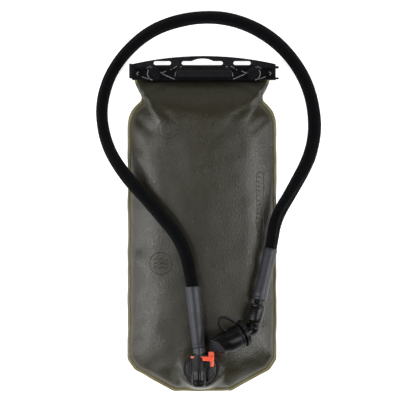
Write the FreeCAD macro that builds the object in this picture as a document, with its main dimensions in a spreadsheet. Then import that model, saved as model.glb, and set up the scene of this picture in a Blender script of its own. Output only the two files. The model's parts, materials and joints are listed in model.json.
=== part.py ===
"""Hydration bladder: a welded film reservoir with a slide-on closure, a quick-release port and an
insulated drinking hose that ends in a covered bite valve. Millimetres, +Z up, lying on its back.
The origin is on the floor, under the middle of the reservoir; +Y points to the filling mouth."""
import FreeCAD, Part
import math
import os

from FreeCAD import Placement, Rotation, Vector

doc = FreeCAD.newDocument("hydration_bladder")
X_AXIS, Y_AXIS, Z_AXIS = Vector(1, 0, 0), Vector(0, 1, 0), Vector(0, 0, 1)
STRAIGHT = Rotation()

# ---------------------------------------------------------------- driving dimensions
DIMENSIONS = [
    ("film_centre", -1.3), ("film_half", 90.0), ("seam_level", 24.0), ("film_rise", 24.0),
    ("film_wall", 0.8), ("weld_share", 0.07), ("weld_thick", 1.2),
    ("port_face", 47.0), ("mouth_foot", 168.0), ("tongue_top", 180.6), ("tongue_half", 79.0),
    ("tongue_wall", 0.6), ("ply_gap", 0.05), ("rail_half", 84.0), ("rail_width", 3.6),
    ("rail_depth", 2.55),
    ("bar_left", -85.8), ("bar_right", 87.6), ("bar_low", 173.0), ("bar_thick", 10.4),
    ("bar_apex", 202.3), ("bar_shoulder", 192.6), ("hanger_low", 187.0), ("hanger_thick", 4.8),
    ("bar_edge", 2.2), ("channel_low", 176.4), ("channel_high", 181.8),
    ("channel_deep", 7.2), ("slit_deep", 2.8), ("slot_low", 191.3), ("slot_wide", 4.8),
    ("arch_left", -13.8), ("arch_right", 12.4), ("arch_peak", 199.2),
    ("grip_radius", 8.0), ("grip_half", 33.0), ("grip_row", 181.0), ("boss_radius", 7.4),
    ("boss_offset", 59.4), ("boss_rise", 0.8), ("cap_end", 3.5),
    ("port_x", -2.5), ("port_y", -173.4), ("flange_radius", 20.4), ("flange_thick", 1.4),
    ("neck_radius", 12.6), ("neck_bore", 9.8), ("neck_drop", 5.5), ("clamp_radius", 18.0),
    ("nut_thick", 3.4), ("cap_radius", 18.2), ("cap_rise", 5.6), ("stem_radius", 8.0),
    ("stem_bore", 2.2), ("ring_wire", 0.85),
    ("barrel_x", -5.2), ("barrel_level", 58.2), ("barrel_radius", 8.7), ("barrel_end", -195.0),
    ("barrel_mouth", -156.0), ("socket_radius", 5.3), ("seat_face", -176.0), ("seat_wall", 1.4),
    ("seat_bore", 3.2), ("chamber_end", -190.5), ("plate_low", -159.9), ("plate_slot", 2.4),
    ("plate_thick", 2.0), ("poppet_radius", 4.4), ("poppet_face", -180.0), ("pin_radius", 1.4),
    ("nose_radius", 5.0), ("nose_tip", -174.2), ("collar_radius", 7.25), ("plug_bore", 2.2),
    ("barb_radius", 3.1), ("hose_radius", 7.3), ("sleeve_bore", 5.2), ("tube_radius", 4.6),
    ("tube_bore", 3.3), ("cuff_small", 7.3), ("cuff_large", 8.9), ("cuff_long", 74.0),
    ("cuff_grip", 14.0), ("upper_small", 8.1), ("upper_large", 8.6), ("spigot_radius", 4.6),
    ("swivel_bore", 4.7), ("elbow_radius", 7.0), ("knuckle_radius", 8.2), ("water_bore", 2.4),
    ("stem_ring", 9.2), ("twist_bore", 9.3), ("twist_radius", 15.2), ("cover_wide", 14.5),
    ("cover_tip", 11.6), ("cover_wall", 1.3), ("cover_long", 37.9), ("tether_wire", 0.9),
    ("latch_travel", 2.2), ("arm_end", -0.8), ("arm_low", -163.0), ("arm_wide", 5.0), ("arm_level", 64.8),
]
sheet = doc.addObject("Spreadsheet::Sheet", "sizes")
for row, (alias, value) in enumerate(DIMENSIONS, start=1):
    sheet.set("A%d" % row, alias)
    sheet.set("B%d" % row, str(value))
    sheet.setAlias("B%d" % row, alias)
doc.recompute()


def size(alias):
    return float(sheet.get(alias))


def cell(text):
    """Turn plain words in a formula into cells of the sheet."""
    words = []
    for word in text.split():
        words.append("sizes." + word if word[0].isalpha() else word)
    return " ".join(words)


# ---------------------------------------------------------------- small builders
nodes = []


def keep(item, label):
    item.Label = label
    nodes.append(item)
    return item


def bind(item, field, value):
    """Set a number, or bind a formula made of sheet words."""
    if isinstance(value, str):
        item.setExpression(field, cell(value))
    elif field.startswith("Placement.Base."):
        place = item.Placement
        setattr(place.Base, field[-1], value)
        item.Placement = place
    else:
        setattr(item, field, value)


def put(item, base, rotation=STRAIGHT):
    item.Placement = Placement(Vector(0, 0, 0), rotation)
    for letter, value in zip("xyz", base):
        bind(item, "Placement.Base." + letter, value)
    return item


def rod(radius, height, base=(0, 0, 0), along=Z_AXIS):
    item = doc.addObject("Part::Cylinder", "rod")
    bind(item, "Radius", radius)
    bind(item, "Height", height)
    return put(item, base, Rotation(Z_AXIS, along))


def taper(first, second, height, base=(0, 0, 0), along=Z_AXIS):
    item = doc.addObject("Part::Cone", "taper")
    bind(item, "Radius1", first)
    bind(item, "Radius2", second)
    bind(item, "Height", height)
    return put(item, base, Rotation(Z_AXIS, along))


def ball(radius, base=(0, 0, 0)):
    item = doc.addObject("Part::Sphere", "ball")
    bind(item, "Radius", radius)
    return put(item, base)


def ring(major, minor, base=(0, 0, 0), along=Z_AXIS):
    item = doc.addObject("Part::Torus", "ring")
    bind(item, "Radius1", major)
    bind(item, "Radius2", minor)
    return put(item, base, Rotation(Z_AXIS, along))


def block(low, spans):
    item = doc.addObject("Part::Box", "block")
    for field, value in zip(("Length", "Width", "Height"), spans):
        bind(item, field, value)
    return put(item, low)


def join(*pieces):
    item = doc.addObject("Part::MultiFuse", "joined")
    item.Shapes = list(pieces)
    return item


def less(base, *tools):
    for tool in tools:
        item = doc.addObject("Part::Cut", "less")
        item.Base = base
        item.Tool = tool
        base = item
    return base


def rounded(base, radius, chosen):
    """Fillet the edges that the test picks."""
    doc.recompute()
    picked = []
    for number, edge in enumerate(base.Shape.Edges, start=1):
        if chosen(edge):
            picked.append((number, radius, radius))
    item = doc.addObject("Part::Fillet", "rounded")
    item.Base = base
    item.Edges = picked
    return item


def shaped(shape, name="shaped"):
    item = doc.addObject("Part::Feature", name)
    item.Shape = shape
    return item


def frame_along(origin, direction):
    return Placement(Vector(*origin), Rotation(Z_AXIS, Vector(*direction)))


def padded(name, edges, start, length):
    """A PartDesign body: one closed outline on the XY plane, padded upwards from a level."""
    body = doc.addObject("PartDesign::Body", name)
    sketch = body.newObject("Sketcher::SketchObject", name + "_outline")
    plane = [p for p in body.Origin.OriginFeatures if p.Role == "XY_Plane"][0]
    sketch.AttachmentSupport = [(plane, "")]
    sketch.MapMode = "FlatFace"
    bind(sketch, "AttachmentOffset.Base.z", start)
    for edge in edges:
        sketch.addGeometry(edge, False)
    pad = body.newObject("PartDesign::Pad", name + "_pad")
    pad.Profile = sketch
    bind(pad, "Length", length)
    doc.recompute()
    return body


# ---------------------------------------------------------------- film reservoir
# Each corner of the reservoir's right half: (half width, y) on the weld's edge and on the flat top.
FILM_CORNERS = [
    ((34.0, -202.3), (14.0, -161.0)), ((60.0, -188.3), (32.0, -156.0)), ((81.0, -177.0), (44.0, -147.0)),
    ((90.0, -163.0), (50.0, -133.0)), ((90.0, 119.0), (50.0, 92.0)), ((84.0, 137.0), (47.0, 104.0)),
    ((73.7, 149.0), (42.0, 112.0)), ((77.9, 161.0), (37.0, 118.0)), ((83.0, 172.0), (31.0, 122.0)),
]
RISE_STEPS = (0.0, 0.35, 0.6, 0.8, 0.94, 1.0)
SEAT_MARGIN = 1.6
FLAT_TOP_HALF = 50.0


def film_contour(share, level):
    """The reservoir's outline, moved by a share of the way from the weld's edge to the flat top."""
    right = []
    for (edge_x, edge_y), (top_x, top_y) in FILM_CORNERS:
        right.append((edge_x + (top_x - edge_x) * share, edge_y + (top_y - edge_y) * share))
    middle = size("film_centre")
    points = [Vector(middle + x, y, level) for x, y in right]
    points += [Vector(middle - x, y, level) for x, y in reversed(right)]
    return Part.makePolygon(points + points[:1])


def pillow(wall):
    """The upper half of the filled reservoir, from the seam up, smaller by a wall all round."""
    wide = size("film_half") - FLAT_TOP_HALF
    sections = []
    for step in RISE_STEPS:
        bulge = 1.0 - math.sqrt(1.0 - step ** 2)
        share = size("weld_share") + (1.0 - size("weld_share")) * bulge + wall / wide
        sections.append(film_contour(share, size("seam_level") + (size("film_rise") - wall) * step))
    return Part.makeLoft(sections, True, True)


def port_seat(wall):
    """The flat round place that carries the port, as a drum from the seam to the port face."""
    height = size("port_face") - size("seam_level") - wall
    base = Vector(size("port_x"), size("port_y"), size("seam_level"))
    return Part.makeCylinder(size("flange_radius") + SEAT_MARGIN - wall, height, base)


def above_port():
    base = Vector(size("port_x"), size("port_y"), size("port_face"))
    return Part.makeCylinder(size("flange_radius") + SEAT_MARGIN, 5.0, base)


def tongue(low):
    """The flat strip of film that enters the closure."""
    half = size("tongue_half")
    corner = Vector(size("film_centre") - half, size("mouth_foot"), low)
    return Part.makeBox(2 * half, size("tongue_top") - size("mouth_foot"), size("tongue_wall"), corner)


def front_panel():
    wall = size("film_wall")
    outer = pillow(0.0).fuse(port_seat(0.0)).cut(above_port())
    room = above_port().translated(Vector(0, 0, -wall))
    inner = pillow(wall).fuse(port_seat(wall)).cut(room)
    hole_base = Vector(size("port_x"), size("port_y"), size("seam_level"))
    hole = Part.makeCylinder(size("neck_radius") + 0.2, 40.0, hole_base)
    strip = tongue(size("seam_level") + size("ply_gap"))
    return outer.cut(inner).cut(hole).fuse(strip)


def back_panel():
    wall = size("film_wall")
    shell = pillow(0.0).cut(pillow(wall))
    level = Vector(0, 0, size("seam_level"))
    strip = tongue(size("seam_level") + size("ply_gap"))
    return shell.fuse(strip).mirror(level, Z_AXIS)


def perimeter_weld():
    low = size("seam_level") - size("weld_thick") / 2
    outside = Part.Face(film_contour(0.0, low))
    inside = Part.Face(film_contour(size("weld_share"), low))
    band = outside.cut(inside).extrude(Vector(0, 0, size("weld_thick")))
    half = size("tongue_half") + 0.4
    corner = Vector(size("film_centre") - half, size("mouth_foot") - 2.0, low - 1.0)
    return band.cut(Part.makeBox(2 * half, 10.0, 4.0, corner))


keep(shaped(front_panel()), "front_panel")
keep(shaped(back_panel()), "back_panel")
keep(shaped(perimeter_weld()), "perimeter_weld")

# ---------------------------------------------------------------- mouth rails
for rail_name, rail_level in (
    ("front_mouth_rail", "seam_level + ply_gap + tongue_wall"),
    ("rear_mouth_rail", "seam_level - ply_gap - tongue_wall - rail_depth"),
):
    rail = block(
        ("film_centre - rail_half", "tongue_top - rail_width", rail_level),
        ("2 * rail_half", "rail_width", "rail_depth"),
    )
    keep(rail, rail_name)


# ---------------------------------------------------------------- slide closure
HANG_SLOTS = {"left_slot": (-59.7, -38.8), "right_slot": (36.6, 57.5), "middle_slot": (-25.9, 23.9)}


def slot_edges(left, right, low, wide):
    """A slot with round ends, as sketch edges."""
    half = wide / 2
    row = low + half
    a, b = left + half, right - half
    return [
        Part.LineSegment(Vector(a, low, 0), Vector(b, low, 0)),
        Part.Arc(Vector(b, low, 0), Vector(right, row, 0), Vector(b, low + wide, 0)),
        Part.LineSegment(Vector(b, low + wide, 0), Vector(a, low + wide, 0)),
        Part.Arc(Vector(a, low + wide, 0), Vector(left, row, 0), Vector(a, low, 0)),
    ]


def arch_edges():
    """The bow over the middle slot: a flat foot inside the slot and one long arc over it."""
    left, right = size("arch_left"), size("arch_right")
    foot, shoulder = size("slot_low") + 1.0, size("slot_low") + size("slot_wide")
    corners = [Vector(left, shoulder, 0), Vector(left, foot, 0), Vector(right, foot, 0), Vector(right, shoulder, 0)]
    sides = [Part.LineSegment(a, b) for a, b in zip(corners, corners[1:])]
    peak = Vector((left + right) / 2, size("arch_peak"), 0)
    return sides + [Part.Arc(corners[3], peak, corners[0])]


def slide_closure():
    left, right = size("bar_left"), size("bar_right")
    low, shoulder = size("bar_low"), size("bar_shoulder")
    corners = [Vector(left, low, 0), Vector(right, low, 0), Vector(right, shoulder, 0)]
    far = Vector(left, shoulder, 0)
    apex = Vector((left + right) / 2, size("bar_apex"), 0)
    outline = [
        Part.LineSegment(corners[0], corners[1]),
        Part.LineSegment(corners[1], corners[2]),
        Part.Arc(corners[2], apex, far),
        Part.LineSegment(far, corners[0]),
    ]
    bar = padded("closure_bar", outline, "seam_level - bar_thick / 2", "bar_thick")
    for hollow_low in ("seam_level + hanger_thick / 2", "seam_level - hanger_thick / 2 - 8"):
        bar = less(bar, block(("bar_left - 5", "hanger_low", hollow_low), (190, 20, 8)))
    bar = rounded(bar, size("bar_edge"), lambda e: e.BoundBox.XLength > 150 and e.BoundBox.ZLength < 0.1
                  and abs(e.BoundBox.ZMin - size("seam_level")) > 5)
    top = "seam_level + bar_thick / 2"
    middle = (left + right) / 2
    extras = [rod("grip_radius", "2 * grip_half", (middle - size("grip_half"), "grip_row",
                                                    "seam_level - 0.5"), X_AXIS)]
    for side in (-1, 1):
        centre = middle + side * size("boss_offset")
        extras.append(rod("boss_radius", "boss_rise + 1", (centre, "grip_row", top + " - 1")))
        extras.append(block((centre - 0.9 + side * 17, 176.5, top + " - 1"), (1.8, 10, "boss_rise + 0.6")))
    for low_y in (174.2, 187.2):
        extras.append(block((right - 0.5, low_y, "seam_level - 3"), (4.2, 2.9, 6)))
    for low_y in (174.2, 185.6):
        for side_x in (left + 4, right - 46):
            extras.append(block((side_x, low_y, top + " - 1"), (42, 1.3, 1.5)))
    bar = join(bar, *extras)
    through = "bar_right - bar_left + 12"
    begin = "bar_left - 2"
    channel = block((begin, "channel_low", "seam_level - channel_deep / 2"),
                    (through, "channel_high - channel_low", "channel_deep"))
    slit = block((begin, "bar_low - 2", "seam_level - slit_deep / 2"),
                 (through, "channel_low - bar_low + 3", "slit_deep"))
    cuts = [channel, slit]
    outlines = {name: slot_edges(*ends, size("slot_low"), size("slot_wide")) for name, ends in HANG_SLOTS.items()}
    outlines["arch"] = arch_edges()
    for name, edges in outlines.items():
        cuts.append(padded(name, edges, "seam_level - bar_thick", "2 * bar_thick"))
    return less(bar, *cuts)


keep(slide_closure(), "slide_closure")
end_cap = block(("bar_left - cap_end", 175, "seam_level - bar_thick / 2"), ("cap_end", 18, "bar_thick"))
keep(rounded(end_cap, 1.2, lambda e: e.BoundBox.XMax < size("bar_left") - 1), "closure_end_cap")

# ---------------------------------------------------------------- port
PORT = ("port_x", "port_y")


def port_rod(radius, height, level):
    return rod(radius, height, PORT + (level,))


flange = join(
    port_rod("flange_radius", "flange_thick", "port_face"),
    port_rod("neck_radius", "neck_drop + 0.5", "port_face - neck_drop"),
)
keep(less(flange, port_rod("neck_bore", 12, "port_face - neck_drop - 1")), "port_flange")
for label, thick, level in (
    ("port_gasket", 0.8, "port_face - film_wall - 0.8"),
    ("port_backing_nut", "nut_thick", "port_face - film_wall - 0.8 - nut_thick"),
):
    washer = port_rod("clamp_radius", thick, level)
    keep(less(washer, port_rod("neck_radius + 0.1", 8, "port_face - 7")), label)


def along_barrel(radius, start, end):
    """A rod on the barrel's axis, between two places along Y."""
    return rod(radius, "( " + end + " ) - ( " + start + " )", ("barrel_x", start, "barrel_level"), Y_AXIS)


def port_cap():
    top = "port_face + flange_thick"
    cap = port_rod("cap_radius", "cap_rise", top)
    cap = rounded(cap, 1.5, lambda e: e.BoundBox.ZMin > size("port_face") + size("flange_thick") + 1
                  and e.BoundBox.ZLength < 0.1)
    ribs = []
    for side in (-1, 1):
        for step in range(4):
            x = size("port_x") + side * (10.4 + 1.7 * step) - 0.45
            reach = math.sqrt(size("cap_radius") ** 2 - (abs(x - size("port_x")) + 1) ** 2) - 1.5
            ribs.append(block((x, size("port_y") - reach, top + " + cap_rise - 1"), (0.9, 2 * reach, 1.5)))
    cap = join(cap, *ribs)
    return less(
        cap,
        port_rod("stem_radius + 0.1", 12, "port_face"),
        along_barrel("barrel_radius + 0.15", "port_y - 24", "port_y + 30"),
        block((2.0, "plate_low - 13.6", "barrel_level - 8.6"), (14, 30, 20)),
        block(("barrel_x - 13", "plate_low - 0.3", "barrel_level - 7"), (26, "plate_slot + 0.6", 9)),
    )


keep(port_cap(), "port_cap")


def outlet_elbow():
    barrel = along_barrel("barrel_radius", "barrel_end", "barrel_mouth")
    barrel = rounded(barrel, 5.0, lambda e: e.BoundBox.YMax < size("barrel_end") + 0.1)
    stem = port_rod("stem_radius", "barrel_level - 42", 42)
    spring_roof = block((1.0, -170.5, "barrel_level + 4.6"), (7.3, 6.6, 2.0))
    body = join(barrel, stem, rounded(spring_roof, 0.6, lambda e: e.BoundBox.XMin > 8.2))
    return less(
        body,
        along_barrel("socket_radius", "seat_face + seat_wall", "barrel_mouth + 1"),
        along_barrel("seat_bore", "seat_face - 0.5", "seat_face + seat_wall + 1"),
        along_barrel("socket_radius", "chamber_end", "seat_face"),
        rod("stem_bore", "barrel_level - 41", (-4.2, "seat_face - 2.4", 41)),
        block(("barrel_x - 12", "plate_low", "barrel_level - 6.6"), (24, "plate_slot", 13.2)),
        block(("arm_end - latch_travel - 0.4", "arm_low - 0.4", "arm_level - 0.4"), (12, "arm_wide + 0.8", 6)),
    )


keep(outlet_elbow(), "outlet_elbow")
keep(ring("stem_radius + 0.9", "ring_wire", PORT + (44.5,)), "elbow_seal_ring")

poppet = join(
    along_barrel("poppet_radius", "poppet_face - 2", "poppet_face"),
    along_barrel("pin_radius", "poppet_face - 1", "nose_tip - 0.2"),
    along_barrel("pin_radius + 0.4", "poppet_face - 5", "poppet_face - 1"),
)
keep(poppet, "check_valve_poppet")

# ---------------------------------------------------------------- latch
def latch_button():
    low = "plate_low + 0.2"
    plate = block(("barrel_x - 9.6", low, "barrel_level - 6.3"), (22.6, "plate_thick", 12.6))
    shoulder = block((6.4, -158.2, "barrel_level - 6.7"), (6.5, 5.6, 11.0))
    thumb = block((7.4, -170.4, "barrel_level - 6.7"), (5.5, 17.8, 11.0))
    head = rounded(join(shoulder, thumb), 1.2, lambda e: e.BoundBox.XMin > 12.8 or e.BoundBox.YMax < -170.3)
    column = block((10.2, "arm_low", "barrel_level"), (2.5, "arm_wide", 7.0))
    arm = block(("arm_end", "arm_low", "arm_level"), ("12.7 - arm_end", "arm_wide", 2.4))
    hook = rounded(join(column, arm), 0.8, lambda e: e.BoundBox.ZMin > size("arm_level") + 2.3)
    hole = [rod(5.3, 4, ("barrel_x + " + shift, "plate_low - 1", "barrel_level"), Y_AXIS)
            for shift in ("0.0", "latch_travel + 0.2")]
    gap = block(("barrel_x", "plate_low - 1", "barrel_level - 5.3"), ("latch_travel + 0.2", 4, 10.6))
    return less(join(plate, head, hook), *hole, gap)


keep(latch_button(), "latch_button")


def latch_spring():
    """A bowed leaf between the barrel's flank and the thumb piece."""
    arch = Part.Arc(Vector(6.8, -168.6, 0), Vector(4.3, -164.8, 0), Vector(6.8, -161.0, 0)).toShape()
    leaf = Part.Wire(arch).extrude(Vector(0, 0, 5.0))
    leaf.translate(Vector(0, 0, size("barrel_level") - 2.5))
    return leaf.makeOffsetShape(-0.35, 0.01, fill=True)


keep(shaped(latch_spring()), "latch_spring")

# ---------------------------------------------------------------- hose route
HOSE_ROUTE = [
    (-5.4, -146.0, 58.2), (-13.4, -66.0, 58.2), (-24.0, -22.0, 58.4), (-56.0, 17.0, 60.0),
    (-97.0, 61.0, 43.0), (-119.0, 99.0, 19.0), (-125.0, 145.0, 7.6), (-109.0, 192.0, 7.6),
    (-68.0, 233.0, 7.6), (-16.0, 250.5, 7.6), (37.0, 249.0, 7.6), (87.0, 223.0, 7.6),
    (123.0, 178.0, 7.6), (136.0, 127.0, 7.8), (130.5, 83.0, 12.0), (107.0, 39.0, 30.5),
    (87.0, 7.0, 44.0), (81.5, -27.0, 50.0), (67.2, -89.5, 57.4),
]
route = [Vector(*point) for point in HOSE_ROUTE]
LOWER_START = Vector(-5.2, -148.0, 58.2)
lower_axis = (route[1] - LOWER_START).normalize()
UPPER_START = route[-2]
upper_axis = (route[-1] - route[-2]).normalize()


def round_route(points, trim_first=0.0, trim_last=0.0):
    """Straight runs joined by tangent arcs. Returns the edges, their length and the radii."""
    edges, radii = [], []
    begin = points[0] + (points[1] - points[0]).normalize() * trim_first
    finish = points[-1] - (points[-1] - points[-2]).normalize() * trim_last
    for before, corner, after in zip(points, points[1:], points[2:]):
        inward = (before - corner).normalize()
        onward = (after - corner).normalize()
        turn = math.pi - inward.getAngle(onward)
        reach = 0.45 * min(before.distanceToPoint(corner), after.distanceToPoint(corner))
        radius = reach / math.tan(turn / 2)
        arc_start = corner + inward * reach
        arc_end = corner + onward * reach
        bisector = (inward + onward).normalize()
        arc_middle = corner + bisector * (radius / math.cos(turn / 2) - radius)
        edges.append(Part.LineSegment(begin, arc_start).toShape())
        edges.append(Part.Arc(arc_start, arc_middle, arc_end).toShape())
        radii.append(radius)
        begin = arc_end
    edges.append(Part.LineSegment(begin, finish).toShape())
    return edges, sum(edge.Length for edge in edges), radii


def pipe(points, radius, trim_first=0.0, trim_last=0.0):
    edges, length, radii = round_route(points, trim_first, trim_last)
    start = edges[0].firstVertex().Point
    heading = edges[0].tangentAt(edges[0].FirstParameter)
    profile = Part.Wire(Part.Circle(start, heading, radius).toShape())
    shell = Part.Wire(edges).makePipeShell([profile], True, True)
    if shell.Volume < 0:
        shell.reverse()
    return shell, length, radii


def hollow_pipe(name, radius, bore, trim_first, trim_last):
    outer, length, radii = pipe(route, radius, trim_first, trim_last)
    inner = pipe(route, bore, trim_first, trim_last)[0]
    tube = outer.cut(inner)
    section = math.pi * (radius ** 2 - bore ** 2)
    print(name, "length %.1f" % length, "volume %.0f" % tube.Volume, "section x length %.0f" %
          (section * length), "radii", [round(value) for value in radii])
    return tube


keep(shaped(hollow_pipe("sleeve", size("hose_radius"), size("sleeve_bore"), 59.0, 48.0)), "tube_sleeve")
keep(shaped(hollow_pipe("tube", size("tube_radius"), size("tube_bore"), 1.0, 2.5)), "drinking_tube")


def poppet_spring():
    """A coil between the poppet's back and the closed end of its chamber."""
    turns, steps, wire, coil_radius = 4, 8, 0.4, 3.6
    room = size("poppet_face") - 2.0 - size("chamber_end") - 2 * wire - 0.4
    points = []
    for step in range(turns * steps + 1):
        angle = 2 * math.pi * step / steps
        rise = room * step / (turns * steps)
        points.append(Vector(coil_radius * math.cos(angle), coil_radius * math.sin(angle), rise))
    coil = shaped(pipe(points, wire)[0])
    start = Vector(size("barrel_x"), size("chamber_end") + wire + 0.2, size("barrel_level"))
    coil.Placement = Placement(start, Rotation(Z_AXIS, Y_AXIS))
    return coil


keep(poppet_spring(), "poppet_spring")

# ---------------------------------------------------------------- plug and lower cuff
lower_frame = frame_along(LOWER_START, lower_axis)


def placed(item, frame):
    """Put a piece that was built along its own Z axis into a frame."""
    item.Placement = frame.multiply(item.Placement)
    return item


def tube_plug():
    nose = along_barrel("nose_radius", "nose_tip", "barrel_mouth + 3")
    nose = less(
        nose,
        less(along_barrel("nose_radius + 1", "plate_low", "plate_low + plate_slot"),
             along_barrel(4.2, "plate_low - 1", "plate_low + plate_slot + 1")),
        less(along_barrel("nose_radius + 1", "-167.5", "-166.2"), along_barrel(3.9, "-168.5", "-165.2")),
    )
    collar = placed(join(rod("collar_radius", 6.4, (0, 0, -6.4)), rod("barb_radius", 15, (0, 0, -1))),
                    lower_frame)
    water = along_barrel("plug_bore", "nose_tip + 2.4", "-150")
    tip_water = along_barrel(1.0, "nose_tip - 1", "nose_tip + 3")
    upper_water = placed(rod("plug_bore", 26, (0, 0, -6)), lower_frame)
    return less(join(nose, collar), water, tip_water, upper_water)


keep(tube_plug(), "tube_plug")
keep(ring(4.45, 0.5, ("barrel_x", -166.85, "barrel_level"), Y_AXIS), "plug_seal_ring")
lower_cuff = less(
    taper("cuff_small", "cuff_large", "cuff_long", (0, 0, 0.3)),
    rod("tube_radius + 0.3", "cuff_long", (0, 0, -1)),
    rod("hose_radius + 0.25", 30, (0, 0, "cuff_long - cuff_grip - 0.3")),
)
keep(placed(lower_cuff, lower_frame), "lower_cuff")

# ---------------------------------------------------------------- upper cuff and swivel
upper_frame = frame_along(UPPER_START, upper_axis)
UPPER_END, NECK_START, NECK_END, SWIVEL_END = 66.0, 62.5, 70.5, 93.5

upper_cuff = less(
    taper("upper_small", "upper_large", UPPER_END - 3, (0, 0, 3)),
    rod("tube_radius + 0.3", 70, (0, 0, 0)),
    rod("hose_radius + 0.25", "cuff_grip + 3", (0, 0, 0)),
    rod(5.8, 8, (0, 0, NECK_START - 0.3)),
)
keep(placed(upper_cuff, upper_frame), "upper_cuff")
spigot = less(
    join(
        rod("barb_radius", 18, (0, 0, NECK_START - 16)),
        rod(5.5, NECK_END - NECK_START, (0, 0, NECK_START)),
        rod("spigot_radius", 18, (0, 0, NECK_END - 0.5)),
    ),
    less(rod(6.5, 1.4, (0, 0, 81.3)), rod(3.7, 3, (0, 0, 80.5))),
    rod("water_bore", 60, (0, 0, 40)),
)
keep(placed(spigot, upper_frame), "hose_end_spigot")
keep(placed(ring(4.15, 0.42, (0, 0, 82.0)), upper_frame), "swivel_seal_ring")
swivel = less(
    taper(9.0, 8.25, SWIVEL_END - 71.5, (0, 0, 71.5)),
    rod("swivel_bore", 17.8, (0, 0, 71)),
    rod("water_bore + 0.8", 12, (0, 0, 86)),
)
keep(placed(swivel, upper_frame), "swivel_sleeve")

# ---------------------------------------------------------------- bite valve
KNUCKLE = UPPER_START + upper_axis * 102.0
valve_tilt, valve_heading = math.radians(20.0), math.radians(205.4)
valve_axis = Vector(
    math.cos(valve_tilt) * math.cos(valve_heading),
    math.cos(valve_tilt) * math.sin(valve_heading),
    math.sin(valve_tilt),
)
valve_frame = frame_along(KNUCKLE, valve_axis)
mouth_frame = frame_along(KNUCKLE - valve_axis * 3.0, valve_axis)


def valve_elbow():
    inlet = placed(rod("elbow_radius", 102 - SWIVEL_END, (0, 0, SWIVEL_END)), upper_frame)
    outlet = placed(join(rod("elbow_radius", 9, (0, 0, 0)), ball("knuckle_radius")), valve_frame)
    inlet_water = placed(rod("water_bore + 0.8", 11, (0, 0, 92)), upper_frame)
    outlet_water = placed(rod("water_bore + 0.8", 14, (0, 0, -0.5)), valve_frame)
    return less(join(inlet, outlet), inlet_water, outlet_water)


keep(valve_elbow(), "valve_elbow")
valve_stem = less(
    join(
        rod("stem_ring", 7.6, (0, 0, 12)),
        rod(11.5, 0.9, (0, 0, 18.9)),
        rod(5.8, 12, (0, 0, 19)),
        block((-2.2, 10, 18.6), (4.4, 8.2, 1.2)),
    ),
    rod("water_bore + 0.8", 40, (0, 0, 5)),
)
keep(placed(valve_stem, mouth_frame), "valve_stem")


NOTCHES, LUG_STEP = 18, 4


def shutoff_collar():
    body = rod("twist_radius", 4.2, (0, 0, 13.9))
    lug = block((-2.2, "twist_radius - 1", 14.1), (4.4, 4.4, 3.6))
    notches = []
    for step in range(NOTCHES):
        angle = math.radians(360 / NOTCHES * (step + 0.5))
        if step != LUG_STEP:
            reach = size("twist_radius") + 0.5
            notches.append(rod(1.0, 6, (reach * math.cos(angle), reach * math.sin(angle), 13)))
    return less(join(body, lug), join(*notches), rod("twist_bore", 8, (0, 0, 12)))


keep(placed(shutoff_collar(), mouth_frame), "shutoff_collar")
bite_valve = less(
    join(
        taper(8.6, 7.4, 14, (0, 0, 20.1)),
        taper(7.4, 6.0, 10, (0, 0, 34)),
        ball(6.4, (0, 0, 44)),
    ),
    rod(5.9, 12, (0, 0, 19.5)),
    rod(3.0, 16, (0, 0, 30)),
    block((-5.0, -0.3, 44), (10, 0.6, 10)),
)
keep(placed(bite_valve, mouth_frame), "bite_valve")

COVER_START = 20.6


def dust_cover():
    outer = taper("cover_wide", "cover_tip", "cover_long", (0, 0, COVER_START))
    inner = taper("cover_wide - cover_wall", "cover_tip - cover_wall", "cover_long", (0, 0, COVER_START - 1.6))
    mouth = rod("cover_wide - cover_wall", 2, (0, 0, COVER_START - 1.0))
    tab = block((-2.5, "cover_tip - 0.5", 36), (5, 4, 3))
    return less(join(outer, tab), inner, mouth)


keep(placed(dust_cover(), mouth_frame), "dust_cover")

TETHER_ROUTE = [(0, 16.2, 37.5), (0, 25.5, 42.5), (0, 33.0, 37.5), (0, 28.5, 28.0), (0, 17.0, 21.0)]


def cover_tether():
    cord = pipe([Vector(*point) for point in TETHER_ROUTE], size("tether_wire"))[0]
    return placed(shaped(cord), mouth_frame)


keep(cover_tether(), "cover_tether")

# ---------------------------------------------------------------- checks and files
doc.recompute()
for item in doc.Objects:
    bad = [state for state in item.State if state in ("Invalid", "Error")]
    if bad:
        raise RuntimeError("%s (%s) is %s" % (item.Name, item.Label, bad))
os.makedirs("parts", exist_ok=True)
for item in nodes:
    shape = item.Shape
    if shape.isNull() or not shape.isValid():
        raise RuntimeError(item.Label + " has no valid shape")
    print("%-20s solids %d volume %9.1f" % (item.Label, len(shape.Solids), shape.Volume))
    shape.exportStep(os.path.join("parts", item.Label + ".step"))
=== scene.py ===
"""Hydration bladder: the looks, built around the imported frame. Lengths are metres."""
import json
import math

import bmesh
import bpy
import numpy as np
from mathutils import Matrix, Vector
from mathutils.bvhtree import BVHTree
from mathutils.geometry import delaunay_2d_cdt


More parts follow.
